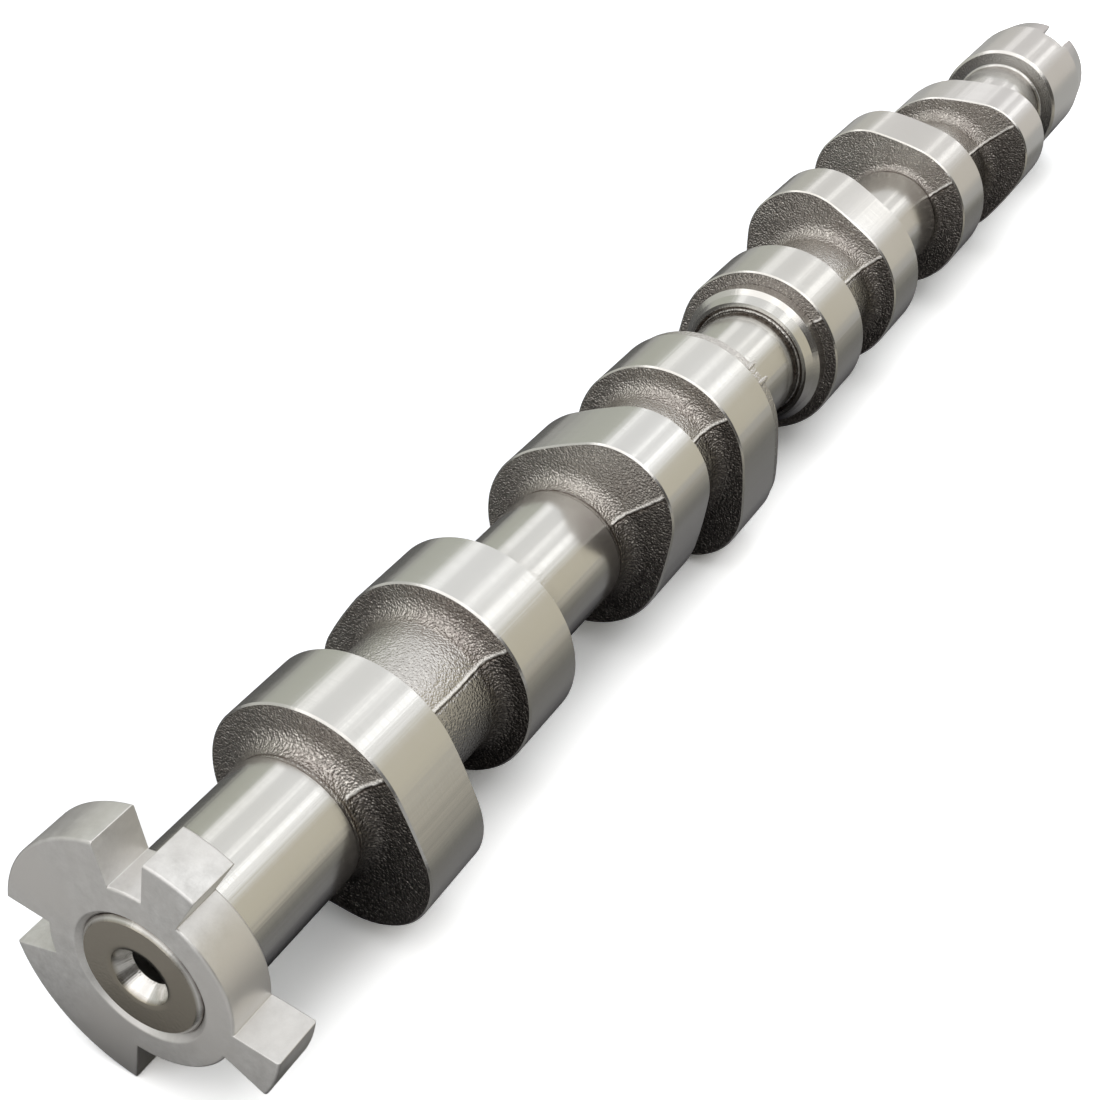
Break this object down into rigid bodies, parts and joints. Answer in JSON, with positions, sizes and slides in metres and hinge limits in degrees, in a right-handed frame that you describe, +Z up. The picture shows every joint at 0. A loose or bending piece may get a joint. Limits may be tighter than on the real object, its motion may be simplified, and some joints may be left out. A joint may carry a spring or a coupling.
{
  "type": "camshaft",
  "caption": "Cast iron camshaft with ground lobes and journals, a toothed trigger wheel pressed on its nose and a drive slot across its far end.",
  "frame": {"origin": "on the shaft's axis, in the plane of the nose's end face", "axes": "+X along the shaft's axis from the nose to the slotted end, +Z up as the shaft comes to rest on a floor"},
  "size_m": [0.4105, 0.0472, 0.0472],
  "materials": {
    "cast_iron": "rough as cast on the faces of the lobes and the bare shaft, ground bright on journals and lobes",
    "sintered_steel": "satin"
  },
  "bodies": {
    "root": {"camshaft": "cast_iron", "trigger_wheel": "sintered_steel"}
  },
  "joints": []
}
